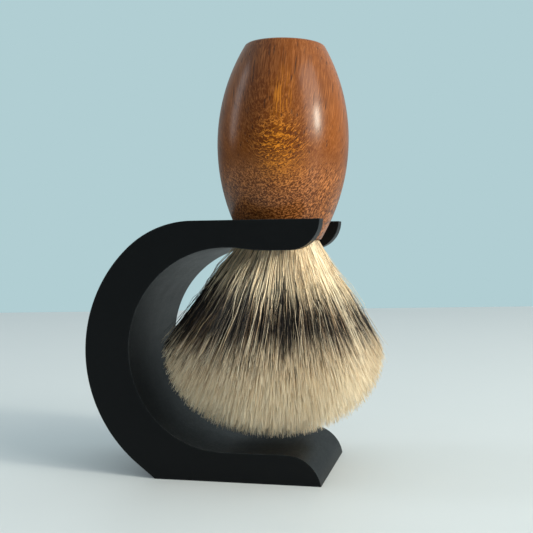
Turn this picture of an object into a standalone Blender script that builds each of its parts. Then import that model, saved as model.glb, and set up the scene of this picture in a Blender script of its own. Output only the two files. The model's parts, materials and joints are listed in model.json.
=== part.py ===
"""Badger shaving brush hanging in its C-shaped fork stand.

Metres, +Z up. The origin lies on the stand's underside, straight below the
centre of the fork's seat. +X points out of the fork's open side.
"""
from math import asin, atan2, cos, pi, radians, sin, tan

import bmesh
import bpy

MM = 0.001

# Stand: one block with a C outline, extruded along Y.
STAND_DEPTH = 40.0 * MM
STAND_HEIGHT = 71.1 * MM
OUTER_CENTRE = (-13.2 * MM, 34.8 * MM)
OUTER_RADIUS = 39.2 * MM
ARM_TOP_BACK_X = -20.8 * MM
HEEL_TANGENT_Z = 4.0 * MM
INNER_CENTRE = (-11.3 * MM, 35.5 * MM)
INNER_RADIUS = 28.2 * MM
FOOT_THICKNESS = 8.1 * MM
FOOT_BACK_X = -12.8 * MM
TOE_ARC_X = 4.7 * MM
TOE_ARC_RADIUS = 9.6 * MM
ARM_THICKNESS = 8.3 * MM
ARM_DIP_ANGLE = radians(8.6)
TIP_ARC_X = 6.2 * MM
ARC_STEP = radians(5.0)

# Fork: a slot through the arm, open at its tip and round at its back.
SLOT_RADIUS = 14.4 * MM
SLOT_STEPS = 32
CUT_MARGIN = 3.0 * MM

# Brush: it leans towards the fork's open side. Heights along its axis count
# up from the centre of the glue bump, where the hair bends.
BRUSH_LEAN = radians(1.9)
BUMP_HEIGHT = 62.0 * MM
MOUTH = 4.0 * MM
HANDLE_TOP = 59.2 * MM
BELLY = 31.6 * MM
BELLY_RADIUS = 18.8 * MM
UPPER_ARC_RADIUS = 54.0 * MM
LOWER_ARC_RADIUS = 56.0 * MM
TOP_RIM_RADIUS = 1.3 * MM
HANDLE_ARC_POINTS = 10
SOCKET_RADIUS = 10.4 * MM
SOCKET_DEPTH = 14.0 * MM
HANDLE_STEPS = 64

# Knot: what is set in the socket, and the hair below it.
FIT_GAP = 0.3 * MM
PLUG_RADIUS = SOCKET_RADIUS - FIT_GAP
ADHESIVE_THICKNESS = 1.0 * MM
THREAD_DIAMETER = 1.0 * MM
THREAD_TURNS = 5
BINDING_BOTTOM = 6.0 * MM
BUMP_ARC_POINTS = 7
HAIR_ROOT_RADIUS = 12.9 * MM
HAIR_FLARE = radians(33.3)
HAIR_BELLY_DROP = 30.0 * MM
HAIR_BELLY_RADIUS = 31.0 * MM
HAIR_LENGTH = 52.9 * MM
HAIR_ARC_POINTS = 10
KNOT_STEPS = 48


def clear_scene():
    for thing in list(bpy.data.objects):
        bpy.data.objects.remove(thing, do_unlink=True)


def new_collection(name):
    collection = bpy.data.collections.new(name)
    bpy.context.scene.collection.children.link(collection)
    return collection


def plain_material(name, colour, roughness):
    material = bpy.data.materials.new(name)
    material.use_nodes = True
    shader = material.node_tree.nodes["Principled BSDF"]
    shader.inputs["Base Color"].default_value = (*colour, 1.0)
    shader.inputs["Roughness"].default_value = roughness
    return material


def arc(centre, radius, start, end, count=None):
    """Points on a circle from angle start to angle end, both included."""
    count = count or round(abs(end - start) / ARC_STEP) + 1
    angles = [start + (end - start) * i / (count - 1) for i in range(count)]
    return [(centre[0] + radius * cos(a), centre[1] + radius * sin(a)) for a in angles]


def blend_arc(big_centre, big_radius, line_height, x):
    """The arc that touches a level line at x and, from inside, a bigger circle.

    Returns its centre, its radius and the angle at which it meets the circle.
    """
    across = x - big_centre[0]
    rise = abs(line_height - big_centre[1])
    radius = (big_radius**2 - across**2 - rise**2) / (2 * (big_radius - rise))
    above = 1 if line_height > big_centre[1] else -1
    centre = (x, line_height - above * radius)
    return centre, radius, atan2(centre[1] - big_centre[1], across)


def stand_outline():
    """The C in X and Z: arm tip, top, round the back, foot, toe, and the inside."""
    centre, radius, join = blend_arc(
        OUTER_CENTRE, OUTER_RADIUS, STAND_HEIGHT, ARM_TOP_BACK_X
    )
    heel = pi + asin((OUTER_CENTRE[1] - HEEL_TANGENT_Z) / OUTER_RADIUS)
    points = arc(centre, radius, pi / 2, join)
    points += arc(OUTER_CENTRE, OUTER_RADIUS, join, heel)[1:]
    points.append((points[-1][0] + HEEL_TANGENT_Z * tan(heel), 0.0))

    toe_centre = (TOE_ARC_X, FOOT_THICKNESS - TOE_ARC_RADIUS)
    points += arc(
        toe_centre, TOE_ARC_RADIUS, asin(-toe_centre[1] / TOE_ARC_RADIUS), pi / 2
    )

    centre, radius, join = blend_arc(
        INNER_CENTRE, INNER_RADIUS, FOOT_THICKNESS, FOOT_BACK_X
    )
    points += arc(centre, radius, -pi / 2, join)
    points += arc(INNER_CENTRE, INNER_RADIUS, join, -1.5 * pi - ARM_DIP_ANGLE)[1:]

    underside = STAND_HEIGHT - ARM_THICKNESS
    dip_x, dip_z = points[-1]
    radius = (dip_z - underside) / (1 - cos(ARM_DIP_ANGLE))
    centre = (dip_x + radius * sin(ARM_DIP_ANGLE), underside + radius)
    points += arc(centre, radius, -pi / 2 - ARM_DIP_ANGLE, -pi / 2, 4)[1:]
    points += arc((TIP_ARC_X, STAND_HEIGHT), ARM_THICKNESS, -pi / 2, 0)
    return points


def slot_outline():
    """The fork's slot in X and Y, seen from above."""
    end = TIP_ARC_X + ARM_THICKNESS + CUT_MARGIN
    back = arc((0.0, 0.0), SLOT_RADIUS, pi / 2, 1.5 * pi, SLOT_STEPS + 1)
    return [(end, SLOT_RADIUS), *back, (end, -SLOT_RADIUS)]


def flat_prism(name, outline, thickness, collection):
    """A mesh object: the outline filled, and extruded to both sides of its plane."""
    curve = bpy.data.curves.new(name, "CURVE")
    curve.dimensions = "2D"
    curve.fill_mode = "BOTH"
    curve.extrude = thickness / 2
    spline = curve.splines.new("POLY")
    spline.points.add(len(outline) - 1)
    for point, (x, y) in zip(spline.points, outline):
        point.co = (x, y, 0.0, 1.0)
    spline.use_cyclic_u = True
    drawn = bpy.data.objects.new(name, curve)
    collection.objects.link(drawn)

    view = bpy.context.evaluated_depsgraph_get()
    mesh = bpy.data.meshes.new_from_object(drawn.evaluated_get(view))
    bpy.data.objects.remove(drawn, do_unlink=True)
    welded = bmesh.new()
    welded.from_mesh(mesh)
    bmesh.ops.remove_doubles(welded, verts=welded.verts, dist=0.00001)
    bmesh.ops.recalc_face_normals(welded, faces=welded.faces)
    welded.to_mesh(mesh)
    welded.free()
    mesh.name = name
    prism = bpy.data.objects.new(name, mesh)
    collection.objects.link(prism)
    return prism


def make_stand(parts, cutters):
    stand = flat_prism("stand_frame", stand_outline(), STAND_DEPTH, parts)
    stand.rotation_euler.x = pi / 2
    stand.data.materials.append(plain_material("black", (0.012, 0.013, 0.015), 0.5))

    height = ARM_THICKNESS + 2 * CUT_MARGIN
    slot = flat_prism("fork_slot_cutter", slot_outline(), height, cutters)
    slot.location.z = STAND_HEIGHT + CUT_MARGIN - height / 2
    slot.hide_render = True
    slot.display_type = "WIRE"
    cut = stand.modifiers.new("fork slot", "BOOLEAN")
    cut.operation = "DIFFERENCE"
    cut.solver = "EXACT"
    cut.object = slot


def turned_piece(name, profile, steps, material, axis, parts):
    """A piece turned about the brush's axis; the profile runs down its outer side."""
    mesh = bpy.data.meshes.new(name)
    edges = [(i, i + 1) for i in range(len(profile) - 1)]
    mesh.from_pydata([(radius, 0.0, height) for radius, height in profile], edges, [])
    mesh.materials.append(material)
    piece = bpy.data.objects.new(name, mesh)
    parts.objects.link(piece)
    piece.parent = axis
    turn = piece.modifiers.new("turn", "SCREW")
    turn.steps = turn.render_steps = steps
    turn.use_merge_vertices = True
    turn.merge_threshold = 0.00001
    return piece


def belly_arc(radius, start_height, end_height):
    """Points of the handle's side between two heights, on an arc through its belly."""
    centre = (BELLY_RADIUS - radius, BELLY)
    start = asin((start_height - BELLY) / radius)
    end = asin((end_height - BELLY) / radius)
    return arc(centre, radius, start, end, HANDLE_ARC_POINTS)


def handle_profile():
    upper = belly_arc(UPPER_ARC_RADIUS, HANDLE_TOP - TOP_RIM_RADIUS, BELLY)
    lower = belly_arc(LOWER_ARC_RADIUS, BELLY, MOUTH)
    rim_centre = (upper[0][0] - TOP_RIM_RADIUS, HANDLE_TOP - TOP_RIM_RADIUS)
    rim = arc(rim_centre, TOP_RIM_RADIUS, pi / 2, 0, 4)
    socket_end = MOUTH + SOCKET_DEPTH
    socket = [(SOCKET_RADIUS, MOUTH), (SOCKET_RADIUS, socket_end), (0.0, socket_end)]
    return [(0.0, HANDLE_TOP), *rim, *upper[1:], *lower[1:], *socket]


def binding_profile():
    """Turns of thread side by side round the knot's base, as one closed ring."""
    inner = PLUG_RADIUS - THREAD_DIAMETER
    middle = inner + THREAD_DIAMETER / 2
    top = BINDING_BOTTOM + THREAD_TURNS * THREAD_DIAMETER
    points = [(inner, top)]
    for turn in range(THREAD_TURNS):
        height = top - (turn + 0.5) * THREAD_DIAMETER
        points += arc((middle, height), THREAD_DIAMETER / 2, pi / 2.4, -pi / 2.4, 4)
    points += [(inner, BINDING_BOTTOM), (inner, top)]
    return points


def plug_profile(top):
    """The cast base of the knot, with the binding's groove and the glue bump below."""
    groove_radius = PLUG_RADIUS - THREAD_DIAMETER - FIT_GAP
    groove_top = BINDING_BOTTOM + THREAD_TURNS * THREAD_DIAMETER + FIT_GAP
    groove_bottom = BINDING_BOTTOM - FIT_GAP
    return [
        (0.0, top),
        (PLUG_RADIUS, top),
        (PLUG_RADIUS, groove_top),
        (groove_radius, groove_top),
        (groove_radius, groove_bottom),
        (PLUG_RADIUS, groove_bottom),
        *arc((0.0, 0.0), PLUG_RADIUS, 0, -pi / 2, BUMP_ARC_POINTS),
    ]


def hair_profile():
    """The hair as one soft solid: a cup over the glue bump, a cone and a round dome.

    The cone runs into the belly along the one arc that touches both.
    """
    cup = arc((0.0, 0.0), PLUG_RADIUS + FIT_GAP, -pi / 2, 0, BUMP_ARC_POINTS)
    cone_at_belly = HAIR_ROOT_RADIUS + HAIR_BELLY_DROP * tan(HAIR_FLARE)
    shoulder_radius = (cone_at_belly - HAIR_BELLY_RADIUS) / (1 / cos(HAIR_FLARE) - 1)
    shoulder_centre = (HAIR_BELLY_RADIUS - shoulder_radius, -HAIR_BELLY_DROP)
    shoulder = arc(shoulder_centre, shoulder_radius, HAIR_FLARE, 0, 4)
    dome_height = HAIR_LENGTH - HAIR_BELLY_DROP
    dome = [
        (HAIR_BELLY_RADIUS * across, dome_height * up - HAIR_BELLY_DROP)
        for across, up in arc((0.0, 0.0), 1.0, 0, -pi / 2, HAIR_ARC_POINTS)
    ]
    return [*cup, (HAIR_ROOT_RADIUS, 0.0), *shoulder, *dome[1:]]


def make_brush(parts):
    axis = bpy.data.objects.new("brush_axis", None)
    axis.location.z = BUMP_HEIGHT
    axis.location.x = -(STAND_HEIGHT - BUMP_HEIGHT) * tan(BRUSH_LEAN)
    axis.rotation_euler.y = BRUSH_LEAN
    parts.objects.link(axis)

    adhesive_top = MOUTH + SOCKET_DEPTH - FIT_GAP
    adhesive_bottom = adhesive_top - ADHESIVE_THICKNESS
    adhesive_profile = [
        (0.0, adhesive_top),
        (PLUG_RADIUS, adhesive_top),
        (PLUG_RADIUS, adhesive_bottom),
        (0.0, adhesive_bottom),
    ]
    wood = plain_material("oiled wood", (0.30, 0.11, 0.035), 0.3)
    resin = plain_material("resin", (0.55, 0.42, 0.24), 0.35)
    thread = plain_material("waxed thread", (0.62, 0.55, 0.42), 0.8)
    hair = plain_material("badger hair", (0.62, 0.53, 0.40), 0.7)
    glue = plain_material("epoxy", (0.70, 0.58, 0.34), 0.25)
    pieces = [
        ("handle", handle_profile(), HANDLE_STEPS, wood),
        ("knot_adhesive", adhesive_profile, KNOT_STEPS, glue),
        ("knot_plug", plug_profile(adhesive_bottom - FIT_GAP), KNOT_STEPS, resin),
        ("knot_binding", binding_profile(), KNOT_STEPS, thread),
        ("bristle_knot", hair_profile(), KNOT_STEPS, hair),
    ]
    for name, profile, steps, material in pieces:
        turned_piece(name, profile, steps, material, axis, parts)


def main():
    clear_scene()
    parts = new_collection("shaving_brush_on_stand")
    cutters = new_collection("cutters")
    make_stand(parts, cutters)
    make_brush(parts)


main()
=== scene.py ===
import json
from math import asin, atan2, cos, pi, radians, sin, tan

import bmesh
import bpy
from mathutils import Euler, Matrix, Vector


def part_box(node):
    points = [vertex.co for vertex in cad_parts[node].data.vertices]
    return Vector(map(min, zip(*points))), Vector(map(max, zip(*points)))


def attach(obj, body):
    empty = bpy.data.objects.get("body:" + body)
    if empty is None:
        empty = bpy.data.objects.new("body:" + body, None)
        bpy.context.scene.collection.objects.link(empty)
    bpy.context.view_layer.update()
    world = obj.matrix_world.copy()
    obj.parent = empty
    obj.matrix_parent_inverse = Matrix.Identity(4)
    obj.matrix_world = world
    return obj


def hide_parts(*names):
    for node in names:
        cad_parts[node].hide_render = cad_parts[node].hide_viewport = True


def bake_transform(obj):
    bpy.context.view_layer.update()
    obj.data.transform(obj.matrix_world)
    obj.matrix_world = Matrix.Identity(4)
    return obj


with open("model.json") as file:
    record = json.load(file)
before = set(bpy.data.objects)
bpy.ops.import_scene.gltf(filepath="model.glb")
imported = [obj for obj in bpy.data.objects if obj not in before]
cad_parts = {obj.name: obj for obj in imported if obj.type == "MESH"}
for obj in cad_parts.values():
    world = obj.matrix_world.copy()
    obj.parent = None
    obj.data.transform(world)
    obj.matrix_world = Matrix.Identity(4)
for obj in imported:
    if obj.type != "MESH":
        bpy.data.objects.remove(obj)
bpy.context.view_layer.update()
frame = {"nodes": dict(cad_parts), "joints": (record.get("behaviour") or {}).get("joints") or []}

mm = 0.001
scene = bpy.context.scene

# The brush's own place: its axis runs up through the centre of the glue bump.
flexJoint = next(joint for joint in frame["joints"] if joint["name"] == "knot_flex")
pivot = Vector(flexJoint["pos_m"])
acrossBrush = Vector(flexJoint["axis"]).normalized()
depthWise = Vector((0.0, 1.0, 0.0))
upBrush = acrossBrush.cross(depthWise)
brushPlace = Matrix.Translation(pivot) @ Matrix((acrossBrush, depthWise, upBrush)).transposed().to_4x4()
brushTilt = atan2(upBrush.x, upBrush.z)


def painted(red, green, blue):
    # a screen colour, 0 to 255, as the linear colour that shaders want
    def linear(value):
        value = value / 255
        return value / 12.92 if value <= 0.04045 else ((value + 0.055) / 1.055) ** 2.4
    return (linear(red), linear(green), linear(blue), 1.0)


def plugIn(tree, socket, value):
    if isinstance(value, bpy.types.NodeSocket):
        tree.links.new(value, socket)
    elif value is not None:
        socket.default_value = value


def addNode(tree, kind, inputs=None, **settings):
    made = tree.nodes.new(kind)
    for name, value in settings.items():
        setattr(made, name, value)
    for name, value in (inputs or {}).items():
        plugIn(tree, made.inputs[name], value)
    return made


def calc(tree, operation, *values):
    made = addNode(tree, "ShaderNodeMath", operation=operation)
    for socket, value in zip(made.inputs, values):
        plugIn(tree, socket, value)
    return made.outputs[0]


def clamped(tree, value):
    return addNode(tree, "ShaderNodeClamp", {"Value": value}).outputs[0]


def vectorCalc(tree, operation, *values):
    made = addNode(tree, "ShaderNodeVectorMath", operation=operation)
    for socket, value in zip(made.inputs, values):
        plugIn(tree, socket, value)
    return made.outputs["Vector"]


def scaled(tree, vector, factor):
    made = addNode(tree, "ShaderNodeVectorMath", operation="SCALE")
    plugIn(tree, made.inputs[0], vector)
    plugIn(tree, made.inputs["Scale"], factor)
    return made.outputs["Vector"]


def lengthOf(tree, vector):
    return addNode(tree, "ShaderNodeVectorMath", {0: vector}, operation="LENGTH").outputs["Value"]


def joined(tree, x, y, z):
    return addNode(tree, "ShaderNodeCombineXYZ", {"X": x, "Y": y, "Z": z}).outputs[0]


def split(tree, vector):
    return addNode(tree, "ShaderNodeSeparateXYZ", {"Vector": vector}).outputs


def ramp(tree, value, low, high, toLow=0.0, toHigh=1.0, kind="SMOOTHSTEP"):
    sockets = {"Value": value, "From Min": low, "From Max": high, "To Min": toLow, "To Max": toHigh}
    return addNode(tree, "ShaderNodeMapRange", sockets, interpolation_type=kind).outputs["Result"]


def blended(tree, factor, first, second, kind="MIX"):
    # two colours; a colour Mix node keeps its factor in socket 0 and its colours in 6 and 7
    made = addNode(tree, "ShaderNodeMix", data_type="RGBA", blend_type=kind)
    plugIn(tree, made.inputs[0], factor)
    plugIn(tree, made.inputs[6], first)
    plugIn(tree, made.inputs[7], second)
    return made.outputs[2]


def noise(tree, vector, scale, detail=2.0, roughness=0.5, dimensions="3D"):
    name = "W" if dimensions == "1D" else "Vector"
    sockets = {name: vector, "Scale": scale, "Detail": detail, "Roughness": roughness}
    return addNode(tree, "ShaderNodeTexNoise", sockets, noise_dimensions=dimensions)


def objectSpace(tree):
    return addNode(tree, "ShaderNodeTexCoord").outputs["Object"]


def placedCoordinates(tree, shift=(0, 0, 0), turn=(0, 0, 0), stretch=(1, 1, 1)):
    # object coordinates, first turned and centred on the piece, then stretched
    sockets = {"Vector": objectSpace(tree), "Location": shift, "Rotation": turn}
    placed = addNode(tree, "ShaderNodeMapping", sockets, vector_type="TEXTURE").outputs[0]
    sockets = {"Vector": placed, "Scale": stretch}
    return addNode(tree, "ShaderNodeMapping", sockets, vector_type="POINT").outputs[0]


def newMaterial(name, shaderInputs):
    material = bpy.data.materials.new(name)
    material.use_nodes = True
    tree = material.node_tree
    shader = tree.nodes["Principled BSDF"]
    for socket, value in shaderInputs.items():
        plugIn(tree, shader.inputs[socket], value)
    return material, tree, shader


def bumped(tree, height, distance, strength=1.0, under=None):
    sockets = {"Height": height, "Distance": distance, "Strength": strength, "Normal": under}
    return addNode(tree, "ShaderNodeBump", sockets).outputs[0]


def newShaderGroup(name, takes, gives):
    group = bpy.data.node_groups.new(name, "ShaderNodeTree")
    for label, kind, value in takes:
        socket = group.interface.new_socket(label, in_out="INPUT", socket_type=kind)
        socket.default_value = value
    for label, kind in gives:
        group.interface.new_socket(label, in_out="OUTPUT", socket_type=kind)
    return group, group.nodes.new("NodeGroupInput").outputs, group.nodes.new("NodeGroupOutput")


def useGroup(tree, group, inputs):
    made = addNode(tree, "ShaderNodeGroup", node_tree=group)
    for name, value in inputs.items():
        plugIn(tree, made.inputs[name], value)
    return made.outputs


number, vector3, hue = "NodeSocketFloat", "NodeSocketVector", "NodeSocketColor"
whole, finish = "NodeSocketInt", "NodeSocketMaterial"


def makeEdgeWearGroup():
    # lightens the rubbed edges: where a rounded normal leaves the true one
    takes = [
        ("Colour", hue, (0.1, 0.1, 0.1, 1)), ("Worn Colour", hue, (0.3, 0.3, 0.3, 1)),
        ("Radius", number, 0.0005), ("Amount", number, 0.5), ("Break Up", number, 900.0),
    ]
    group, given, out = newShaderGroup("edgeWear", takes, [("Colour", hue), ("Mask", number)])
    rounded = addNode(group, "ShaderNodeBevel", {"Radius": given["Radius"]}, samples=6).outputs[0]
    trueNormal = addNode(group, "ShaderNodeNewGeometry").outputs["Normal"]
    dot = addNode(group, "ShaderNodeVectorMath", {0: rounded, 1: trueNormal}, operation="DOT_PRODUCT")
    edge = ramp(group, dot.outputs["Value"], 0.995, 0.86)
    patches = noise(group, objectSpace(group), given["Break Up"], 3.0).outputs["Fac"]
    broken = calc(group, "MULTIPLY", edge, ramp(group, patches, 0.35, 0.65, 0.35, 1.0))
    mask = calc(group, "MULTIPLY", broken, given["Amount"])
    plugIn(group, out.inputs["Colour"], blended(group, mask, given["Colour"], given["Worn Colour"]))
    plugIn(group, out.inputs["Mask"], mask)
    return group


def makeFineGrainGroup():
    # a colour, a roughness and a height that vary finely over the surface
    takes = [
        ("Colour", hue, (0.1, 0.1, 0.1, 1)), ("Vector", vector3, (0, 0, 0)), ("Scale", number, 500.0),
        ("Colour Change", number, 0.2), ("Roughness", number, 0.5), ("Roughness Change", number, 0.1),
    ]
    gives = [("Colour", hue), ("Roughness", number), ("Height", number)]
    group, given, out = newShaderGroup("fineGrain", takes, gives)
    fine = noise(group, given["Vector"], given["Scale"], 4.0, 0.6).outputs["Fac"]
    broad = noise(group, given["Vector"], calc(group, "MULTIPLY", given["Scale"], 0.13), 2.0).outputs["Fac"]
    both = calc(group, "ADD", calc(group, "MULTIPLY", fine, 0.6), calc(group, "MULTIPLY", broad, 0.4))
    centred = calc(group, "SUBTRACT", both, 0.5)
    change = calc(group, "MULTIPLY", centred, given["Colour Change"])
    factor = calc(group, "ADD", calc(group, "MULTIPLY", change, 4.0), 1.0)
    grey = joined(group, factor, factor, factor)
    plugIn(group, out.inputs["Colour"], blended(group, 1.0, given["Colour"], grey, "MULTIPLY"))
    rougher = calc(group, "MULTIPLY", centred, calc(group, "MULTIPLY", given["Roughness Change"], 4.0))
    plugIn(group, out.inputs["Roughness"], clamped(group, calc(group, "ADD", given["Roughness"], rougher)))
    plugIn(group, out.inputs["Height"], fine)
    return group


def makeDustGroup():
    # a thin pale film that settles on what faces up
    takes = [
        ("Colour", hue, (0.1, 0.1, 0.1, 1)), ("Dust Colour", hue, (0.5, 0.5, 0.48, 1)),
        ("Amount", number, 0.1),
    ]
    group, given, out = newShaderGroup("settledDust", takes, [("Colour", hue), ("Mask", number)])
    normal = addNode(group, "ShaderNodeNewGeometry").outputs["Normal"]
    facing = ramp(group, split(group, normal)["Z"], 0.35, 0.95)
    specks = noise(group, objectSpace(group), 1400.0, 3.0, 0.7).outputs["Fac"]
    film = calc(group, "MULTIPLY", facing, ramp(group, specks, 0.42, 0.72))
    mask = calc(group, "MULTIPLY", film, given["Amount"])
    plugIn(group, out.inputs["Colour"], blended(group, mask, given["Colour"], given["Dust Colour"]))
    plugIn(group, out.inputs["Mask"], mask)
    return group


edgeWear = makeEdgeWearGroup()
fineGrain = makeFineGrainGroup()
settledDust = makeDustGroup()


# Camera, floor, backdrop and lights.
view = {
    "place": (53.17 * mm, -250.25 * mm, 64.75 * mm), "yaw": radians(12.99), "pitch": radians(-1.51),
    "roll": radians(0.69), "lens": 59.9,
}


def makeCamera():
    data = bpy.data.cameras.new("camera")
    data.sensor_width = 36
    data.lens = view["lens"]
    data.clip_start = 10 * mm
    data.clip_end = 50
    camera = bpy.data.objects.new("camera", data)
    scene.collection.objects.link(camera)
    turn = Matrix.Rotation(view["yaw"], 3, "Z") @ Matrix.Rotation(view["pitch"], 3, "X")
    turn = turn @ Matrix.Rotation(view["roll"], 3, "Y")
    right, forward, up = turn.col
    facing = Matrix((right, up, -forward)).transposed().to_4x4()
    camera.matrix_world = Matrix.Translation(view["place"]) @ facing
    scene.camera = camera


studio = {
    "floorWidth": 4.0, "floorDepth": 3.0, "floorBehind": 0.608, "floorColour": painted(209, 212, 213),
    "floorRoughness": 0.48, "airColour": painted(177, 206, 211), "skyColour": painted(206, 223, 227),
    # how bright the air is: everywhere, and more towards the open side, the back and above
    "air": 0.09, "openSide": 0.60, "behind": 0.34, "above": 0.93,
    # azimuth runs from the front towards the fork's open side, elevation up from the floor
    "lights": {
        "key": {"azimuth": 68, "elevation": 26, "distance": 1.1, "size": (0.62, 0.85), "power": 9.0,
                "colour": painted(253, 248, 240)},
        "glint": {"azimuth": 73, "elevation": 15, "distance": 1.0, "size": (0.14, 0.19), "power": 6.0,
                  "colour": painted(255, 252, 232)},
        "fill": {"azimuth": -84, "elevation": 24, "distance": 1.0, "size": (0.26, 0.6), "power": 1.9,
                 "colour": painted(232, 240, 246)},
    },
    "aim": (0.0, 0.0, 90 * mm),
}


def makeAreaLight(name, facts):
    data = bpy.data.lights.new(name, "AREA")
    data.shape = "RECTANGLE"
    data.size, data.size_y = facts["size"]
    data.energy = facts["power"]
    data.color = facts["colour"][:3]
    light = bpy.data.objects.new(name, data)
    scene.collection.objects.link(light)
    around, above = radians(facts["azimuth"]), radians(facts["elevation"])
    away = Vector((sin(around) * cos(above), -cos(around) * cos(above), sin(above)))
    light.location = Vector(studio["aim"]) + away * facts["distance"]
    light.rotation_euler = (-away).to_track_quat("-Z", "Y").to_euler()


def makeFloor():
    # its far edge lies square to the camera's view
    bpy.ops.mesh.primitive_plane_add(size=1.0)
    floor = bpy.context.object
    floor.name = "floor"
    size = Matrix.Diagonal((studio["floorWidth"], studio["floorDepth"], 1, 1))
    back = Matrix.Translation((0, studio["floorBehind"] - studio["floorDepth"] / 2, 0))
    floor.data.transform(Matrix.Rotation(view["yaw"], 4, "Z") @ back @ size)
    material, tree, shader = newMaterial("pale table top", {})
    inputs = {"Colour": studio["floorColour"], "Vector": placedCoordinates(tree), "Scale": 60.0,
              "Colour Change": 0.01, "Roughness": studio["floorRoughness"], "Roughness Change": 0.03}
    grain = useGroup(tree, fineGrain, inputs)
    plugIn(tree, shader.inputs["Base Color"], grain["Colour"])
    plugIn(tree, shader.inputs["Roughness"], grain["Roughness"])
    floor.data.materials.append(material)


def makeAir():
    world = bpy.data.worlds.new("pale room")
    scene.world = world
    world.use_nodes = True
    tree = world.node_tree
    x, y, z = split(tree, addNode(tree, "ShaderNodeTexCoord").outputs["Generated"])
    strength = studio["air"]
    for direction, share in ((x, studio["openSide"]), (y, studio["behind"]), (z, studio["above"])):
        strength = calc(tree, "MULTIPLY_ADD", calc(tree, "MAXIMUM", direction, 0.0), share, strength)
    lighting = tree.nodes["Background"]
    plugIn(tree, lighting.inputs["Color"], studio["skyColour"])
    plugIn(tree, lighting.inputs["Strength"], strength)
    seen = addNode(tree, "ShaderNodeBackground", {"Color": studio["airColour"], "Strength": 1.0})
    isSeen = addNode(tree, "ShaderNodeLightPath").outputs["Is Camera Ray"]
    both = addNode(tree, "ShaderNodeMixShader", {0: isSeen, 1: lighting.outputs[0], 2: seen.outputs[0]})
    plugIn(tree, tree.nodes["World Output"].inputs["Surface"], both.outputs[0])


def makeStudio():
    makeFloor()
    makeAir()
    for name, facts in studio["lights"].items():
        makeAreaLight(name, facts)
    scene.view_settings.view_transform = "Standard"


makeCamera()
makeStudio()
print("camera and studio are set")


# Stand: one block with a C outline, a slot through its arm, and softened edges.
standLow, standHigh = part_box("stand_frame")
# centres are given in X and Z; each arc runs on from the one before it
stand = {
    "outerCentre": (-13.2 * mm, 34.8 * mm), "outerRadius": 39.2 * mm, "armTopBack": -20.8 * mm,
    "heelTangent": 4.0 * mm,
    "innerCentre": (-11.3 * mm, 35.5 * mm), "innerRadius": 28.2 * mm,
    "footThickness": 8.1 * mm, "footBack": -12.8 * mm, "toeArcX": 4.7 * mm, "toeRadius": 9.6 * mm,
    "armThickness": 8.3 * mm, "armDip": radians(8.6), "tipArcX": 6.2 * mm,
    "slotRadius": 14.4 * mm, "edgeRadius": 0.35 * mm, "arcStep": radians(1.25),
    "colour": painted(5, 7, 9), "wornColour": painted(64, 68, 70), "roughness": 0.42,
    "wear": 0.45, "wearRadius": 0.5 * mm, "dustColour": painted(120, 124, 122), "dust": 0.10,
    "grainDepth": 0.006 * mm, "lineDepth": 0.012 * mm,
}


def arcPoints(centre, radius, start, end):
    count = max(2, round(abs(end - start) / stand["arcStep"]) + 1)
    angles = [start + (end - start) * step / (count - 1) for step in range(count)]
    return [(centre[0] + radius * cos(angle), centre[1] + radius * sin(angle)) for angle in angles]


def blendArc(bigCentre, bigRadius, lineHeight, x):
    # the arc that touches a level line at x and, from inside, a bigger circle
    across = x - bigCentre[0]
    rise = abs(lineHeight - bigCentre[1])
    radius = (bigRadius**2 - across**2 - rise**2) / (2 * (bigRadius - rise))
    above = 1 if lineHeight > bigCentre[1] else -1
    centre = (x, lineHeight - above * radius)
    return centre, radius, atan2(centre[1] - bigCentre[1], across)


def standOutline():
    # in X and Z: top, round the back, foot, toe, then back along the inside
    top, facts = standHigh.z, stand
    centre, radius, join = blendArc(facts["outerCentre"], facts["outerRadius"], top, facts["armTopBack"])
    heel = pi + asin((facts["outerCentre"][1] - facts["heelTangent"]) / facts["outerRadius"])
    points = arcPoints(centre, radius, pi / 2, join)
    points += arcPoints(facts["outerCentre"], facts["outerRadius"], join, heel)[1:]
    points.append((points[-1][0] + facts["heelTangent"] * tan(heel), 0.0))

    toeCentre = (facts["toeArcX"], facts["footThickness"] - facts["toeRadius"])
    points += arcPoints(toeCentre, facts["toeRadius"], asin(-toeCentre[1] / facts["toeRadius"]), pi / 2)

    inner, innerRadius = facts["innerCentre"], facts["innerRadius"]
    centre, radius, join = blendArc(inner, innerRadius, facts["footThickness"], facts["footBack"])
    points += arcPoints(centre, radius, -pi / 2, join)
    points += arcPoints(inner, innerRadius, join, -1.5 * pi - facts["armDip"])[1:]

    underside = top - facts["armThickness"]
    dipX, dipZ = points[-1]
    radius = (dipZ - underside) / (1 - cos(facts["armDip"]))
    centre = (dipX + radius * sin(facts["armDip"]), underside + radius)
    points += arcPoints(centre, radius, -pi / 2 - facts["armDip"], -pi / 2)[1:]
    points += arcPoints((facts["tipArcX"], top), facts["armThickness"], -pi / 2, 0)
    return points


def prismMesh(name, corners, travel):
    # a closed prism: one face through the corners, pushed along travel
    shape = bmesh.new()
    face = shape.faces.new([shape.verts.new(corner) for corner in corners])
    pushed = bmesh.ops.extrude_face_region(shape, geom=[face])["geom"]
    moved = [item for item in pushed if isinstance(item, bmesh.types.BMVert)]
    bmesh.ops.translate(shape, verts=moved, vec=travel)
    bmesh.ops.recalc_face_normals(shape, faces=shape.faces)
    mesh = bpy.data.meshes.new(name)
    shape.to_mesh(mesh)
    shape.free()
    return mesh


def newObject(name, mesh):
    made = bpy.data.objects.new(name, mesh)
    scene.collection.objects.link(made)
    return made


def settled(piece):
    # the piece as a plain mesh, with every modifier used up
    bpy.context.view_layer.update()
    seen = bpy.context.evaluated_depsgraph_get()
    mesh = bpy.data.meshes.new_from_object(
        piece.evaluated_get(seen), preserve_all_data_layers=True, depsgraph=seen)
    piece.modifiers.clear()
    piece.data = mesh
    mesh.name = piece.name
    return piece


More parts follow.
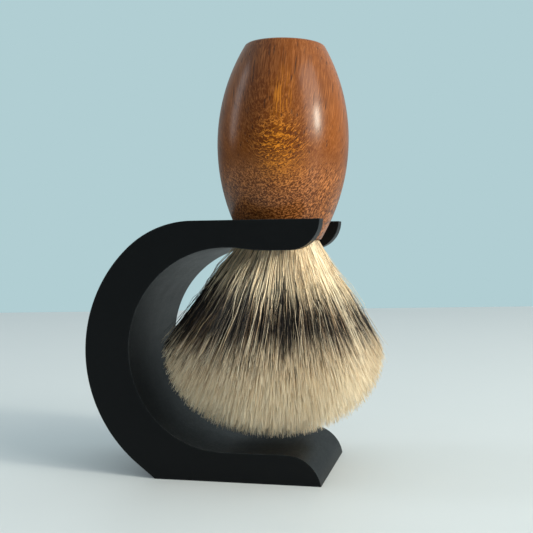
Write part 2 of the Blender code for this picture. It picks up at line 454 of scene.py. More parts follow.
def makeStandMaterial():
    # moulded black: satin, with faint lines along its depth on the curved faces
    material, tree, shader = newMaterial("black stand", {"Specular IOR Level": 0.16})
    lines = noise(tree, placedCoordinates(tree, stretch=(1, 0.03, 1)), 2300.0, 3.0, 0.65).outputs["Fac"]
    marks = noise(tree, placedCoordinates(tree, stretch=(0.2, 1.0, 0.2)), 900.0, 2.0).outputs["Fac"]
    inputs = {"Colour": stand["colour"], "Vector": placedCoordinates(tree), "Scale": 1500.0,
              "Colour Change": 0.10, "Roughness": stand["roughness"], "Roughness Change": 0.06}
    grain = useGroup(tree, fineGrain, inputs)
    worn = useGroup(tree, edgeWear, {
        "Colour": grain["Colour"], "Worn Colour": stand["wornColour"],
        "Radius": stand["wearRadius"], "Amount": stand["wear"], "Break Up": 700.0})
    dusty = useGroup(tree, settledDust, {
        "Colour": worn["Colour"], "Dust Colour": stand["dustColour"], "Amount": stand["dust"]})
    lined = ramp(tree, lines, 0.3, 0.7, 0.84, 1.18)
    shade = joined(tree, lined, lined, lined)
    plugIn(tree, shader.inputs["Base Color"], blended(tree, 1.0, dusty["Colour"], shade, "MULTIPLY"))
    plugIn(tree, shader.inputs["Roughness"], calc(tree, "MULTIPLY_ADD", lines, 0.08, grain["Roughness"]))
    finely = bumped(tree, grain["Height"], stand["grainDepth"])
    height = calc(tree, "MULTIPLY_ADD", marks, 0.4, lines)
    plugIn(tree, shader.inputs["Normal"], bumped(tree, height, stand["lineDepth"], under=finely))
    return material


def makeStand():
    corners = [(x, standLow.y, z) for x, z in standOutline()]
    depth = standHigh.y - standLow.y
    piece = newObject("stand", prismMesh("stand", corners, (0, depth, 0)))

    # the slot runs past the arm's tip, top and underside, so that it cuts clean through
    past = 3 * mm
    front = standHigh.x + past
    back = arcPoints((0, 0), stand["slotRadius"], pi / 2, 1.5 * pi)
    slot = [(front, stand["slotRadius"]), *back, (front, -stand["slotRadius"])]
    bottom = standHigh.z - stand["armThickness"] - past
    travel = (0, 0, stand["armThickness"] + 2 * past)
    cutter = newObject("slot", prismMesh("slot", [(x, y, bottom) for x, y in slot], travel))
    cut = piece.modifiers.new("slot", "BOOLEAN")
    cut.operation = "DIFFERENCE"
    cut.solver = "EXACT"
    cut.object = cutter
    soften = piece.modifiers.new("soft edges", "BEVEL")
    soften.width = stand["edgeRadius"]
    soften.segments = 3
    soften.limit_method = "ANGLE"
    soften.angle_limit = radians(28)
    settled(piece)
    bpy.data.objects.remove(cutter)
    piece.data.shade_smooth()
    piece.data.set_sharp_from_angle(angle=radians(14))
    piece.data.materials.clear()
    piece.data.materials.append(makeStandMaterial())
    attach(piece, "stand")
    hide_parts("stand_frame")


makeStand()
print("stand is made")


# Geometry Nodes: helpers for trees that are built here and then used up.
def newGeometryTree(name, takes):
    tree = bpy.data.node_groups.new(name, "GeometryNodeTree")
    for label, kind, value in takes:
        socket = tree.interface.new_socket(label, in_out="INPUT", socket_type=kind)
        if value is not None:
            socket.default_value = value
    tree.interface.new_socket("Geometry", in_out="OUTPUT", socket_type="NodeSocketGeometry")
    return tree, tree.nodes.new("NodeGroupInput").outputs, tree.nodes.new("NodeGroupOutput")


def grown(name, tree, values):
    # an object with the tree's geometry; the modifier is still on it, for others to follow
    piece = newObject(name, bpy.data.meshes.new(name))
    modifier = piece.modifiers.new("grow", "NODES")
    modifier.node_group = tree
    for socket in tree.interface.items_tree:
        if socket.item_type == "SOCKET" and socket.in_out == "INPUT":
            modifier[socket.identifier] = values[socket.name]
    return piece


def randomValue(tree, low, high, seed):
    made = addNode(tree, "FunctionNodeRandomValue", data_type="FLOAT")
    plugIn(tree, made.inputs[2], low)     # sockets 2 and 3 are the float range
    plugIn(tree, made.inputs[3], high)
    plugIn(tree, made.inputs["Seed"], seed)
    return made.outputs[1]


def stored(tree, geometry, name, value, kind="FLOAT", domain="POINT"):
    made = addNode(tree, "GeometryNodeStoreNamedAttribute", {"Geometry": geometry, "Name": name},
                   data_type=kind, domain=domain)
    plugIn(tree, made.inputs["Value"], value)
    return made.outputs[0]


def remembered(tree, name, kind="FLOAT"):
    return addNode(tree, "GeometryNodeInputNamedAttribute", {"Name": name}, data_type=kind).outputs[0]


def pointPlace(tree):
    return split(tree, addNode(tree, "GeometryNodeInputPosition").outputs[0])


def endTree(tree, geometry, given, out):
    # how every tree ends: smooth shading, copies made real, and the material
    sockets = {"Geometry": geometry, "Shade Smooth": True}
    smooth = addNode(tree, "GeometryNodeSetShadeSmooth", sockets).outputs[0]
    real = addNode(tree, "GeometryNodeRealizeInstances", {"Geometry": smooth}).outputs[0]
    dressed = addNode(tree, "GeometryNodeSetMaterial", {"Geometry": real, "Material": given["Material"]})
    plugIn(tree, out.inputs["Geometry"], dressed.outputs[0])


# Handle: a barrel turned from one block, with a socket bored in its lower end.
handle = {
    "mouth": 4.0 * mm, "top": 59.2 * mm, "belly": 31.6 * mm, "bellyRadius": 18.8 * mm,
    "upperArc": 54.0 * mm, "lowerArc": 56.0 * mm, "rimRadius": 1.3 * mm, "mouthEdge": 0.25 * mm,
    "socketRadius": 10.4 * mm, "socketDepth": 14.0 * mm, "sides": 160, "rings": 96,
    "grainTilt": radians(23), "roughness": 0.32,
    # golden patches on the barrel's front, partly the wood's figure and partly painted reflection of its
    # shimmer: where the middle lies, and how far it reaches across, in and up
    "heartWithPaintedReflection": {"middle": (3.0 * mm, -18.0 * mm, 28.5 * mm), "reach": (11.5 * mm, 14.0 * mm, 14.0 * mm)},
    "flameWithPaintedReflection": {"middle": (3.0 * mm, -17.0 * mm, 42.0 * mm), "reach": (4.2 * mm, 14.0 * mm, 11.0 * mm)},
    "brown": painted(128, 66, 4), "darkBrown": painted(89, 42, 4), "redBrown": painted(76, 32, 4),
    "deepBrownAndShade": painted(50, 21, 6), "paleBrown": painted(190, 120, 66), "gold": painted(214, 132, 36),
    "pore": painted(30, 14, 6), "poreDepth": 0.03 * mm, "wear": 0.5, "wearRadius": 0.8 * mm,
}


def makeBarrelTree():
    sizes = ("Mouth", "Top", "Belly", "Belly Radius", "Upper Arc", "Lower Arc", "Socket Radius",
             "Socket Depth", "Mouth Edge")
    takes = [(label, number, 0) for label in sizes]
    takes += [("Sides", whole, 96), ("Rings", whole, 64), ("Material", finish, None)]
    tree, given, out = newGeometryTree("turnedBarrel", takes)
    block = addNode(tree, "GeometryNodeMeshCylinder", {
        "Vertices": given["Sides"], "Side Segments": given["Rings"], "Radius": 1.0, "Depth": 1.0})
    x, y, z = pointPlace(tree)
    height = ramp(tree, z, -0.5, 0.5, given["Mouth"], given["Top"], "LINEAR")
    fromBelly = calc(tree, "SUBTRACT", height, given["Belly"])
    upper = calc(tree, "GREATER_THAN", fromBelly, 0.0)
    arcRadius = ramp(tree, upper, 0, 1, given["Lower Arc"], given["Upper Arc"], "LINEAR")
    square = calc(tree, "SUBTRACT", calc(tree, "POWER", arcRadius, 2.0), calc(tree, "POWER", fromBelly, 2.0))
    swell = calc(tree, "SUBTRACT", calc(tree, "SQRT", square), arcRadius)
    radius = calc(tree, "ADD", given["Belly Radius"], swell)
    turned = joined(tree, calc(tree, "MULTIPLY", x, radius), calc(tree, "MULTIPLY", y, radius), height)
    barrel = addNode(tree, "GeometryNodeSetPosition", {"Geometry": block.outputs["Mesh"], "Position": turned})

    past = 2 * mm
    bore = addNode(tree, "GeometryNodeMeshCylinder", {
        "Vertices": given["Sides"], "Side Segments": 1, "Radius": given["Socket Radius"],
        "Depth": calc(tree, "ADD", given["Socket Depth"], past)})
    depthMiddle = calc(tree, "MULTIPLY", calc(tree, "SUBTRACT", given["Socket Depth"], past), 0.5)
    lift = joined(tree, 0.0, 0.0, calc(tree, "ADD", given["Mouth"], depthMiddle))
    placed = addNode(tree, "GeometryNodeTransform", {"Geometry": bore.outputs["Mesh"], "Translation": lift})
    bored = addNode(tree, "GeometryNodeMeshBoolean", operation="DIFFERENCE", solver="EXACT")
    plugIn(tree, bored.inputs["Mesh 1"], barrel.outputs[0])
    plugIn(tree, bored.inputs["Mesh 2"], placed.outputs[0])

    # the top rim gets the whole bevel, the mouth's two edges a small share of it
    angle = addNode(tree, "GeometryNodeInputMeshEdgeAngle").outputs["Unsigned Angle"]
    corner = calc(tree, "GREATER_THAN", angle, radians(35))
    isTop = calc(tree, "GREATER_THAN", pointPlace(tree)["Z"], given["Belly"])
    share = ramp(tree, isTop, 0, 1, given["Mouth Edge"], 1.0, "LINEAR")
    weight = calc(tree, "MULTIPLY", corner, share)
    marked = stored(tree, bored.outputs["Mesh"], "bevel_weight_edge", weight, domain="EDGE")
    endTree(tree, marked, given, out)
    return tree


def makeWoodMaterial():
    # Solid wood: one pattern in the block, so that the barrel cuts it into long
    # streaks above the belly and into flecks of end grain below it.
    sheen = {"Specular IOR Level": 0.12, "Coat Weight": 0.24, "Coat Roughness": 0.2}
    material, tree, shader = newMaterial("oiled wood", sheen)
    middle = brushPlace @ Vector((0, 0, handle["belly"]))
    turn = Euler((-handle["grainTilt"], brushTilt, 0.0), "XYZ")
    block = placedCoordinates(tree, shift=middle, turn=turn)
    side, layer, along = split(tree, block)    # across the rays, through the year rings, up the grain

    slowly = joined(tree, side, layer, calc(tree, "MULTIPLY", along, 0.12))
    sway = calc(tree, "SUBTRACT", noise(tree, slowly, 84.0, 1.0).outputs["Fac"], 0.5)
    zigzag = calc(tree, "SUBTRACT", noise(tree, slowly, 1500.0, 1.0).outputs["Fac"], 0.5)
    bent = calc(tree, "MULTIPLY_ADD", sway, 1.3 * mm, layer)
    bent = calc(tree, "MULTIPLY_ADD", zigzag, 0.5 * mm, bent)
    wavy = joined(tree, side, bent, along)

    def grainNoise(scales, detail):
        spot = vectorCalc(tree, "MULTIPLY", wavy, scales)
        return noise(tree, spot, 1.0, detail, 0.55).outputs["Fac"]

    # golden soft tissue: wavy ripples and short dashes along the year rings, streaks up the grain
    contour = calc(tree, "ABSOLUTE", calc(tree, "SUBTRACT", grainNoise((430.0, 3900.0, 70.0), 1.0), 0.5))
    ripples = ramp(tree, contour, 0.052, 0.012)
    dashes = ramp(tree, grainNoise((1900.0, 6200.0, 300.0), 1.0), 0.47, 0.6)
    streaks = ramp(tree, grainNoise((3300.0, 900.0, 110.0), 1.0), 0.48, 0.62)
    rings = noise(tree, joined(tree, 0.0, calc(tree, "MULTIPLY", bent, 260.0), 0.0), 1.0, 1.0).outputs["Fac"]

    def patch(facts):
        # 1 in the middle of a rounded region of the block, 0 outside it; and the height from its middle
        near = placedCoordinates(tree, shift=brushPlace @ Vector(facts["middle"]), turn=(0, brushTilt, 0),
                                 stretch=[1 / reach for reach in facts["reach"]])
        return ramp(tree, lengthOf(tree, near), 1.0, 0.2), split(tree, near)["Z"]

    # painted reflection: the heart and flame brighten the figure to gold on the barrel's front, where the
    # wood shimmers
    heartWithPaintedReflection, fromHeart = patch(handle["heartWithPaintedReflection"])
    flameWithPaintedReflection, _ = patch(handle["flameWithPaintedReflection"])
    lower = ramp(tree, fromHeart, 0.25, -1.1)    # 0 at the heart, 1 where the barrel draws in below it

    # fine fibres, and pores that show as dark needles or dots
    fibres = grainNoise((3600.0, 3600.0, 90.0), 3.0)
    cells = vectorCalc(tree, "MULTIPLY", wavy, (1500.0, 1500.0, 75.0))
    holes = addNode(tree, "ShaderNodeTexVoronoi", {"Vector": cells, "Scale": 1.0}).outputs
    chosen = addNode(tree, "ShaderNodeSeparateColor", {"Color": holes["Color"]}).outputs[0]
    pores = calc(tree, "MULTIPLY", ramp(tree, holes["Distance"], 0.3, 0.19), ramp(tree, chosen, 0.5, 0.8))

    broad = noise(tree, slowly, 55.0, 2.0).outputs["Fac"]
    base = blended(tree, ramp(tree, broad, 0.35, 0.68), handle["darkBrown"], handle["brown"])
    base = blended(tree, ramp(tree, rings, 0.4, 0.7, 0.0, 0.28), base, handle["redBrown"])
    base = blended(tree, ramp(tree, fibres, 0.42, 0.75, 0.0, 0.35), base, handle["paleBrown"])
    # darker towards the bottom: partly the wood's own deeper tone, partly painted shade of the lower half
    # that faces down
    base = blended(tree, calc(tree, "MULTIPLY", lower, 0.76), base, handle["deepBrownAndShade"])
    base = blended(tree, calc(tree, "MULTIPLY", heartWithPaintedReflection, 0.4), base, handle["redBrown"])

    # the figure over it: ripples in and round the heart, dashes below it, streaks in the flame; their gold in
    # the heart and flame is partly painted reflection
    fleck = blended(tree, heartWithPaintedReflection, handle["paleBrown"], handle["gold"])
    rippled = calc(tree, "MULTIPLY", ripples, calc(tree, "MULTIPLY_ADD", heartWithPaintedReflection, 0.78, 0.12))
    rippled = calc(tree, "MULTIPLY", rippled, ramp(tree, lower, 0.35, 0.9, 1.0, 0.2))
    dashed = calc(tree, "MULTIPLY", dashes, ramp(tree, lower, 0.05, 0.7, 0.0, 0.78))
    base = blended(tree, calc(tree, "MAXIMUM", rippled, dashed), base, fleck)
    streaked = calc(tree, "MULTIPLY", streaks, calc(tree, "MULTIPLY", flameWithPaintedReflection, 0.5))
    base = blended(tree, streaked, base, handle["gold"])
    base = blended(tree, calc(tree, "MULTIPLY", pores, 0.72), base, handle["pore"])
    worn = useGroup(tree, edgeWear, {
        "Colour": base, "Worn Colour": handle["darkBrown"],
        "Radius": handle["wearRadius"], "Amount": handle["wear"], "Break Up": 400.0})
    plugIn(tree, shader.inputs["Base Color"], worn["Colour"])

    grain = useGroup(tree, fineGrain, {
        "Colour": base, "Vector": block, "Scale": 900.0, "Colour Change": 0.0,
        "Roughness": handle["roughness"], "Roughness Change": 0.05})
    rough = calc(tree, "MULTIPLY_ADD", pores, 0.25, grain["Roughness"])
    plugIn(tree, shader.inputs["Roughness"], rough)
    relief = calc(tree, "MULTIPLY_ADD", pores, -1.0, calc(tree, "MULTIPLY", fibres, 0.35))
    plugIn(tree, shader.inputs["Normal"], bumped(tree, relief, handle["poreDepth"]))
    return material


def makeHandle():
    tree = makeBarrelTree()
    piece = grown("barrel_handle", tree, {
        "Mouth": handle["mouth"], "Top": handle["top"], "Belly": handle["belly"],
        "Belly Radius": handle["bellyRadius"], "Upper Arc": handle["upperArc"],
        "Lower Arc": handle["lowerArc"], "Socket Radius": handle["socketRadius"],
        "Socket Depth": handle["socketDepth"], "Mouth Edge": handle["mouthEdge"] / handle["rimRadius"],
        "Sides": handle["sides"], "Rings": handle["rings"], "Material": makeWoodMaterial()})
    rim = piece.modifiers.new("round rim", "BEVEL")
    rim.width = handle["rimRadius"]
    rim.segments = 6
    rim.limit_method = "WEIGHT"
    settled(piece)
    piece.data.transform(brushPlace)
    piece.data.set_sharp_from_angle(angle=radians(32))
    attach(piece, "brush")
    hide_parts("handle")


makeHandle()
print("handle is made")


# Hair: straight badger hairs that fan out from the glue bump to a round dome.
hairLow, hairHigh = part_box("bristle_knot")
halfWidth = (hairHigh.y - hairLow.y) / 2
hair = {
    "tufts": 6, "hairsPerTuft": 5150, "rings": 6,
    # the bundle: its round root in the socket, its widest place, and the dome of its tips
    "rootRadius": 10.2 * mm, "rootHeight": 5.0 * mm, "rootUneven": 1.0 * mm,
    "bellyRadius": halfWidth + 0.3 * mm, "bellyDrop": 30.0 * mm, "widest": halfWidth + 0.75 * mm,
    "length": (pivot.z - hairLow.z) + 0.4 * mm, "spread": 1.12, "lean": -1.5 * mm,
    # how untidy it is: clumps and stray tips, the bow of a hair, the share that is trimmed off
    "clumpSize": 1.2 * mm, "clumpPull": 0.6, "wander": 0.9 * mm, "crossing": 0.10, "frizz": 0.9 * mm,
    "trim": 0.14,
    "rootThickness": 0.11 * mm, "tipThickness": 0.035 * mm, "thinnest": 0.7, "thickest": 1.45,
    "strays": 600, "straySeed": 90, "strayThickness": 0.075 * mm, "strayTipThickness": 0.028 * mm,
    "strayWander": 2.6 * mm, "strayCrossing": 0.3, "strayFrizz": 2.4 * mm, "strayOuterOnly": 0.8,
    "strayLightness": 0.2,
    # the map: the length that fills it, and the width that one hair takes
    "longest": 60.0 * mm, "uvWidth": 0.004,
    "cream": painted(254, 240, 210), "warmCream": painted(244, 218, 178), "tip": painted(254, 240, 212),
    "warmTip": painted(244, 216, 174), "dark": painted(22, 14, 11), "brown": painted(160, 108, 62),
    # painted shade: how much darker, per metre, the hairs grow towards the stand's back
    "paintedShadeBack": 8.0, "bandWander": 14.0 * mm,
}


def makeHairTree():
    sizes = ("Root Radius", "Root Height", "Root Uneven", "Belly Radius", "Belly Drop", "Widest", "Length",
             "Spread", "Lean", "Clump Size", "Clump Pull", "Wander", "Crossing", "Frizz", "Trim",
             "Root Thickness", "Tip Thickness", "Thinnest", "Thickest", "Outer Only", "Lightness",
             "Painted Shade Back", "Longest", "UV Width")
    takes = [(label, number, 0) for label in sizes]
    takes += [("Count", whole, 100), ("Seed", whole, 0), ("Rings", whole, 6), ("Material", finish, None)]
    tree, given, out = newGeometryTree("badgerHair", takes)

    def draw(low, high, step):
        return randomValue(tree, low, high, calc(tree, "MULTIPLY_ADD", given["Seed"], 20.0, float(step)))

    # where a hair stands in the bundle: 0 in the middle, 1 at the outside
    bundle = addNode(tree, "GeometryNodePoints", {"Count": given["Count"]}).outputs[0]
    outward = ramp(tree, draw(0.0, 1.0, 1), 0, 1, given["Outer Only"], 1.0, "LINEAR")
    reach = calc(tree, "SQRT", outward)
    around = draw(0.0, 2 * pi, 2)
    cosine, sine = calc(tree, "COSINE", around), calc(tree, "SINE", around)
    rootReach = calc(tree, "MULTIPLY", reach, given["Root Radius"])
    rootX, rootY = calc(tree, "MULTIPLY", rootReach, cosine), calc(tree, "MULTIPLY", rootReach, sine)
    lower = draw(calc(tree, "MULTIPLY", given["Root Uneven"], -1.0), 0.0, 3)
    root = joined(tree, rootX, rootY, calc(tree, "ADD", given["Root Height"], lower))

    # where its tip ends on the dome, with the same share of hairs everywhere on it
    down = calc(tree, "SUBTRACT", 1.0, calc(tree, "MULTIPLY", outward, given["Spread"]))
    square = calc(tree, "SUBTRACT", 1.0, calc(tree, "POWER", down, 2.0))
    flat = calc(tree, "SQRT", calc(tree, "MAXIMUM", square, 0.0))
    tipReach = calc(tree, "MULTIPLY", flat, given["Belly Radius"])
    domeHeight = calc(tree, "SUBTRACT", given["Length"], given["Belly Drop"])
    tipDown = calc(tree, "MULTIPLY_ADD", down, domeHeight, given["Belly Drop"])
    tipAround = calc(tree, "ADD", around, calc(tree, "MULTIPLY", given["Crossing"], draw(-1.0, 1.0, 11)))
    tipX = calc(tree, "MULTIPLY_ADD", tipReach, calc(tree, "COSINE", tipAround), given["Lean"])
    tipY = calc(tree, "MULTIPLY", tipReach, calc(tree, "SINE", tipAround))
    tip = joined(tree, tipX, tipY, calc(tree, "MULTIPLY", tipDown, -1.0))

    # tips gather in small clumps, and a few wander off, but none past the widest place
    clumps = addNode(tree, "ShaderNodeTexVoronoi", {
        "Vector": tip, "Scale": calc(tree, "DIVIDE", 1.0, given["Clump Size"])}).outputs["Position"]
    pull = calc(tree, "MULTIPLY", given["Clump Pull"], draw(0.3, 1.0, 4))
    tip = vectorCalc(tree, "ADD", tip, scaled(tree, vectorCalc(tree, "SUBTRACT", clumps, tip), pull))
    wander = joined(tree, draw(-1.0, 1.0, 5), draw(-1.0, 1.0, 6), draw(0.0, 1.0, 7))
    tip = vectorCalc(tree, "ADD", tip, scaled(tree, wander, given["Wander"]))
    tipX, tipY, tipZ = split(tree, tip)
    wide = calc(tree, "DIVIDE", calc(tree, "ABSOLUTE", tipY), given["Widest"])
    tip = joined(tree, tipX, calc(tree, "DIVIDE", tipY, calc(tree, "MAXIMUM", wide, 1.0)), tipZ)

    # the hair's straight line from root to tip, trimmed a little
    trimmed = calc(tree, "MULTIPLY", given["Trim"], calc(tree, "POWER", draw(0.0, 1.0, 8), 2.0))
    line = scaled(tree, vectorCalc(tree, "SUBTRACT", tip, root), calc(tree, "SUBTRACT", 1.0, trimmed))
    hairLength = lengthOf(tree, line)

    # how light the hair is: patches over the knot, a draw for each hair, and painted shade that darkens hairs
    # towards the stand's back, away from the lamps
    patches = noise(tree, tip, 800.0, 1.0).outputs["Fac"]
    tone = calc(tree, "MULTIPLY_ADD", calc(tree, "SUBTRACT", patches, 0.52), 2.0, draw(0.24, 0.76, 9))
    tone = calc(tree, "MULTIPLY_ADD", split(tree, tip)["X"], given["Painted Shade Back"], tone)
    tone = clamped(tree, calc(tree, "ADD", tone, given["Lightness"]))
    tone = ramp(tree, tone, 0, 1, 0.01, 0.985, "LINEAR")

    placed = addNode(tree, "GeometryNodeSetPosition", {"Geometry": bundle, "Position": root}).outputs[0]
    kept = stored(tree, placed, "tone", tone)
    kept = stored(tree, kept, "hairLength", hairLength)
    kept = stored(tree, kept, "hairTip", tip, kind="FLOAT_VECTOR")
    kept = stored(tree, kept, "hairLine", line, kind="FLOAT_VECTOR")
    kept = stored(tree, kept, "girth", draw(given["Thinnest"], given["Thickest"], 10))

    # one hair: a thin three-sided taper, one unit long, that every point gets a copy of
    oneHair = addNode(tree, "GeometryNodeMeshCone", {
        "Vertices": 3, "Side Segments": given["Rings"], "Radius Top": given["Tip Thickness"],
        "Radius Bottom": given["Root Thickness"], "Depth": 1.0}).outputs["Mesh"]
    _, acrossHair, upHair = pointPlace(tree)
    oneHair = stored(tree, oneHair, "along", upHair)
    oneHair = stored(tree, oneHair, "aside", calc(tree, "DIVIDE", acrossHair, given["Root Thickness"]))
    hairLine = remembered(tree, "hairLine", "FLOAT_VECTOR")
    turn = addNode(tree, "FunctionNodeAlignRotationToVector", {"Vector": hairLine}, axis="Z").outputs[0]
    girth = remembered(tree, "girth")
    copies = addNode(tree, "GeometryNodeInstanceOnPoints", {
        "Points": kept, "Instance": oneHair, "Rotation": turn,
        "Scale": joined(tree, girth, girth, remembered(tree, "hairLength"))}).outputs[0]
    real = addNode(tree, "GeometryNodeRealizeInstances", {"Geometry": copies}).outputs[0]

    # each hair bows a little, most in its middle
    along = remembered(tree, "along")
    arch = calc(tree, "SINE", calc(tree, "MULTIPLY", along, pi))
    lag = joined(tree, 0.0, 0.0, calc(tree, "MULTIPLY", along, 0.012))
    seat = vectorCalc(tree, "ADD", remembered(tree, "hairTip", "FLOAT_VECTOR"), lag)
    drift = noise(tree, seat, 240.0, 2.0).outputs["Color"]
    drift = vectorCalc(tree, "SUBTRACT", drift, (0.5, 0.5, 0.5))
    most = calc(tree, "MULTIPLY", given["Frizz"], 3.0)    # the drift seldom passes a third either way
    bow = scaled(tree, drift, calc(tree, "MULTIPLY", arch, most))
    bowed = addNode(tree, "GeometryNodeSetPosition", {"Geometry": real, "Offset": bow}).outputs[0]

    # the map: across it the hair's tone, up it the distance from the root
    toneHere, aside = remembered(tree, "tone"), remembered(tree, "aside")
    acrossMap = calc(tree, "MULTIPLY_ADD", aside, given["UV Width"], toneHere)
    fromRoot = calc(tree, "MULTIPLY", along, remembered(tree, "hairLength"))
    spot = joined(tree, acrossMap, calc(tree, "DIVIDE", fromRoot, given["Longest"]), 0.0)
    mapped = stored(tree, bowed, "OFBake", spot, kind="FLOAT2", domain="CORNER")
    for spare in ("tone", "girth", "hairLength", "hairTip", "hairLine", "along", "aside"):
        mapped = addNode(tree, "GeometryNodeRemoveAttribute", {"Geometry": mapped, "Name": spare}).outputs[0]
    endTree(tree, mapped, given, out)
    return tree


def makeHairMaterial():
    # cream at the root, a dark band, then a cream tip; the map gives tone and distance
    material, tree, shader = newMaterial("badger hair", {"Roughness": 0.42, "Specular IOR Level": 0.35})
    uvMap = addNode(tree, "ShaderNodeUVMap", uv_map="OFBake").outputs[0]
    tone, up, _ = split(tree, uvMap)
    distance = calc(tree, "MULTIPLY", up, hair["longest"] / mm)    # in millimetres
    fine = noise(tree, tone, 160.0, 1.0, dimensions="1D").outputs["Fac"]
    other = noise(tree, calc(tree, "ADD", tone, 3.7), 230.0, 1.0, dimensions="1D").outputs["Fac"]

    # where the band begins and ends: a darker hair has a longer one, and both ends wander
    wander = hair["bandWander"] / mm
    darkHalf = ramp(tree, tone, 0, 0.45, -6.0, 10.0, "LINEAR")
    lightHalf = ramp(tree, tone, 0.45, 1, 0.0, 10.0)
    start = calc(tree, "MULTIPLY_ADD", fine, wander, calc(tree, "ADD", darkHalf, lightHalf))
    end = calc(tree, "MULTIPLY_ADD", other, wander, ramp(tree, tone, 0, 1, 34.0, 21.0, "LINEAR"))
    pastEnd = calc(tree, "SUBTRACT", distance, end)
    into = ramp(tree, calc(tree, "SUBTRACT", distance, start), -2.0, 3.5)
    outOf = ramp(tree, pastEnd, -2.0, 4.0, 1.0, 0.0)
    # the lightest hairs have almost no band, and nor have a few of the others
    notLightest = ramp(tree, tone, 0.92, 0.98, 1.0, 0.08)
    banded = calc(tree, "MULTIPLY", notLightest, ramp(tree, other, 0.64, 0.68, 1.0, 0.06))
    band = calc(tree, "MULTIPLY", calc(tree, "MULTIPLY", into, outOf), banded)

    tint = ramp(tree, fine, 0.3, 0.75, 0.0, 1.0)
    root = blended(tree, tint, hair["cream"], hair["warmCream"])
    shade = calc(tree, "MULTIPLY", ramp(tree, fine, 0.46, 0.4), ramp(tree, distance, 24.0, 12.0, 0.0, 0.5))
    root = blended(tree, shade, root, hair["brown"])
    top = blended(tree, ramp(tree, other, 0.35, 0.75), hair["tip"], hair["warmTip"])
    top = blended(tree, ramp(tree, fine, 0.44, 0.38, 0.0, 0.2), top, hair["brown"])
    body = blended(tree, ramp(tree, distance, 18.0, 30.0), root, top)
    tawny = calc(tree, "MULTIPLY", ramp(tree, pastEnd, 12.0, -1.0), ramp(tree, fine, 0.42, 0.58, 0.0, 0.65))
    body = blended(tree, calc(tree, "MULTIPLY", tawny, ramp(tree, distance, 16.0, 26.0)), body, hair["brown"])
    plugIn(tree, shader.inputs["Base Color"], blended(tree, band, body, hair["dark"]))
    return material


def growHair(name, tree, values):
    piece = settled(grown(name, tree, values))
    piece.data.transform(brushPlace)
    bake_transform(piece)
    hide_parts("bristle_knot")


def makeHair():
    tree = makeHairTree()
    values = {
        "Count": hair["hairsPerTuft"], "Rings": hair["rings"], "Material": makeHairMaterial(),
        "Root Radius": hair["rootRadius"], "Root Height": hair["rootHeight"],
        "Root Uneven": hair["rootUneven"], "Belly Radius": hair["bellyRadius"],
        "Belly Drop": hair["bellyDrop"], "Widest": hair["widest"], "Length": hair["length"],
        "Spread": hair["spread"], "Lean": hair["lean"], "Clump Size": hair["clumpSize"],
        "Clump Pull": hair["clumpPull"], "Wander": hair["wander"], "Crossing": hair["crossing"],
        "Frizz": hair["frizz"], "Trim": hair["trim"], "Root Thickness": hair["rootThickness"],
        "Tip Thickness": hair["tipThickness"], "Thinnest": hair["thinnest"], "Thickest": hair["thickest"],
        "Outer Only": 0.0, "Lightness": 0.0, "Painted Shade Back": hair["paintedShadeBack"],
        "Longest": hair["longest"], "UV Width": hair["uvWidth"],
    }
    for tuft in range(1, hair["tufts"] + 1):
        growHair(f"hair_tuft_{tuft}", tree, {**values, "Seed": tuft})
    growHair("stray_hairs", tree, {
        **values, "Count": hair["strays"], "Seed": hair["straySeed"], "Clump Pull": 0.0,
        "Wander": hair["strayWander"], "Crossing": hair["strayCrossing"], "Frizz": hair["strayFrizz"],
        "Root Thickness": hair["strayThickness"], "Tip Thickness": hair["strayTipThickness"],
        "Outer Only": hair["strayOuterOnly"], "Lightness": hair["strayLightness"]})


makeHair()
print("hair is made")


# What stays hidden in the handle's socket: the knot's cast base, its thread and the glue.
inside = {
    "resin": painted(198, 176, 132), "cloud": painted(170, 140, 92), "hairEnds": painted(110, 84, 58),
    "thread": painted(206, 192, 160), "shadeBetweenPlies": painted(136, 116, 84),
    "epoxy": painted(218, 200, 150), "bubble": painted(236, 226, 196),
    "resinDepth": 0.05 * mm, "threadDepth": 0.08 * mm, "epoxyDepth": 0.05 * mm,
}


def knotCoordinates(tree):
    return placedCoordinates(tree, shift=pivot, turn=(0, brushTilt, 0))


def makeResinMaterial():
    material, tree, shader = newMaterial("cast resin", {"Specular IOR Level": 0.5, "Coat Weight": 0.2})
    place = knotCoordinates(tree)
    cloudy = noise(tree, place, 260.0, 3.0).outputs["Fac"]
    grain = useGroup(tree, fineGrain, {"Colour": inside["resin"], "Vector": place, "Scale": 1200.0,
                                       "Colour Change": 0.12, "Roughness": 0.3, "Roughness Change": 0.1})
    hairy = noise(tree, placedCoordinates(tree, stretch=(1, 1, 0.06)), 3200.0, 2.0).outputs["Fac"]
    colour = blended(tree, ramp(tree, cloudy, 0.4, 0.7, 0.0, 0.5), grain["Colour"], inside["cloud"])
    colour = blended(tree, ramp(tree, hairy, 0.58, 0.66, 0.0, 0.5), colour, inside["hairEnds"])
    plugIn(tree, shader.inputs["Base Color"], colour)
    plugIn(tree, shader.inputs["Roughness"], grain["Roughness"])
    plugIn(tree, shader.inputs["Normal"], bumped(tree, cloudy, inside["resinDepth"]))
    return material


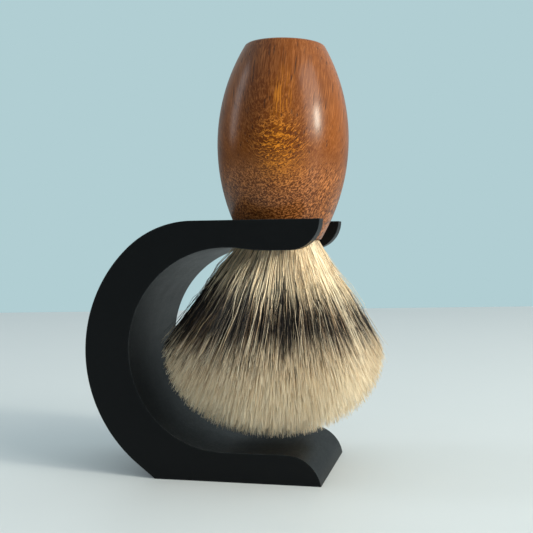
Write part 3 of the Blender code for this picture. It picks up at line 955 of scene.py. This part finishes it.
def makeThreadMaterial():
    # twisted yarn: slanting plies across each turn, with painted shade in the grooves between them
    material, tree, shader = newMaterial("waxed thread", {"Specular IOR Level": 0.3, "Sheen Weight": 0.2})
    place = knotCoordinates(tree)
    x, y, z = split(tree, place)
    around = calc(tree, "ARCTAN2", y, x)
    slant = calc(tree, "MULTIPLY_ADD", around, 90.0, calc(tree, "MULTIPLY", z, 5200.0))
    plies = calc(tree, "MULTIPLY_ADD", calc(tree, "SINE", slant), 0.5, 0.5)
    grain = useGroup(tree, fineGrain, {"Colour": inside["thread"], "Vector": place, "Scale": 2600.0,
                                       "Colour Change": 0.2, "Roughness": 0.72, "Roughness Change": 0.08})
    # painted shade: darker in the grooves between the plies
    colour = blended(tree, calc(tree, "MULTIPLY", plies, 0.45), grain["Colour"], inside["shadeBetweenPlies"])
    plugIn(tree, shader.inputs["Base Color"], colour)
    plugIn(tree, shader.inputs["Roughness"], grain["Roughness"])
    plugIn(tree, shader.inputs["Normal"], bumped(tree, plies, inside["threadDepth"]))
    return material


def makeEpoxyMaterial():
    # a poured disc: clear amber with small bubbles
    material, tree, shader = newMaterial("socket epoxy", {"Specular IOR Level": 0.55, "Coat Weight": 0.3})
    place = knotCoordinates(tree)
    bubbles = addNode(tree, "ShaderNodeTexVoronoi", {"Vector": place, "Scale": 850.0}).outputs["Distance"]
    ring = ramp(tree, bubbles, 0.22, 0.12)
    grain = useGroup(tree, fineGrain, {"Colour": inside["epoxy"], "Vector": place, "Scale": 500.0,
                                       "Colour Change": 0.15, "Roughness": 0.2, "Roughness Change": 0.08})
    plugIn(tree, shader.inputs["Base Color"], blended(tree, ring, grain["Colour"], inside["bubble"]))
    plugIn(tree, shader.inputs["Roughness"], grain["Roughness"])
    plugIn(tree, shader.inputs["Normal"], bumped(tree, ring, inside["epoxyDepth"]))
    return material


def dressInside():
    finishes = {
        "knot_plug": makeResinMaterial, "knot_binding": makeThreadMaterial,
        "knot_adhesive": makeEpoxyMaterial,
    }
    for node, makeFinish in finishes.items():
        kept = frame["nodes"][node]
        kept.data.materials.clear()
        kept.data.materials.append(makeFinish())


dressInside()
print("inner parts are dressed")
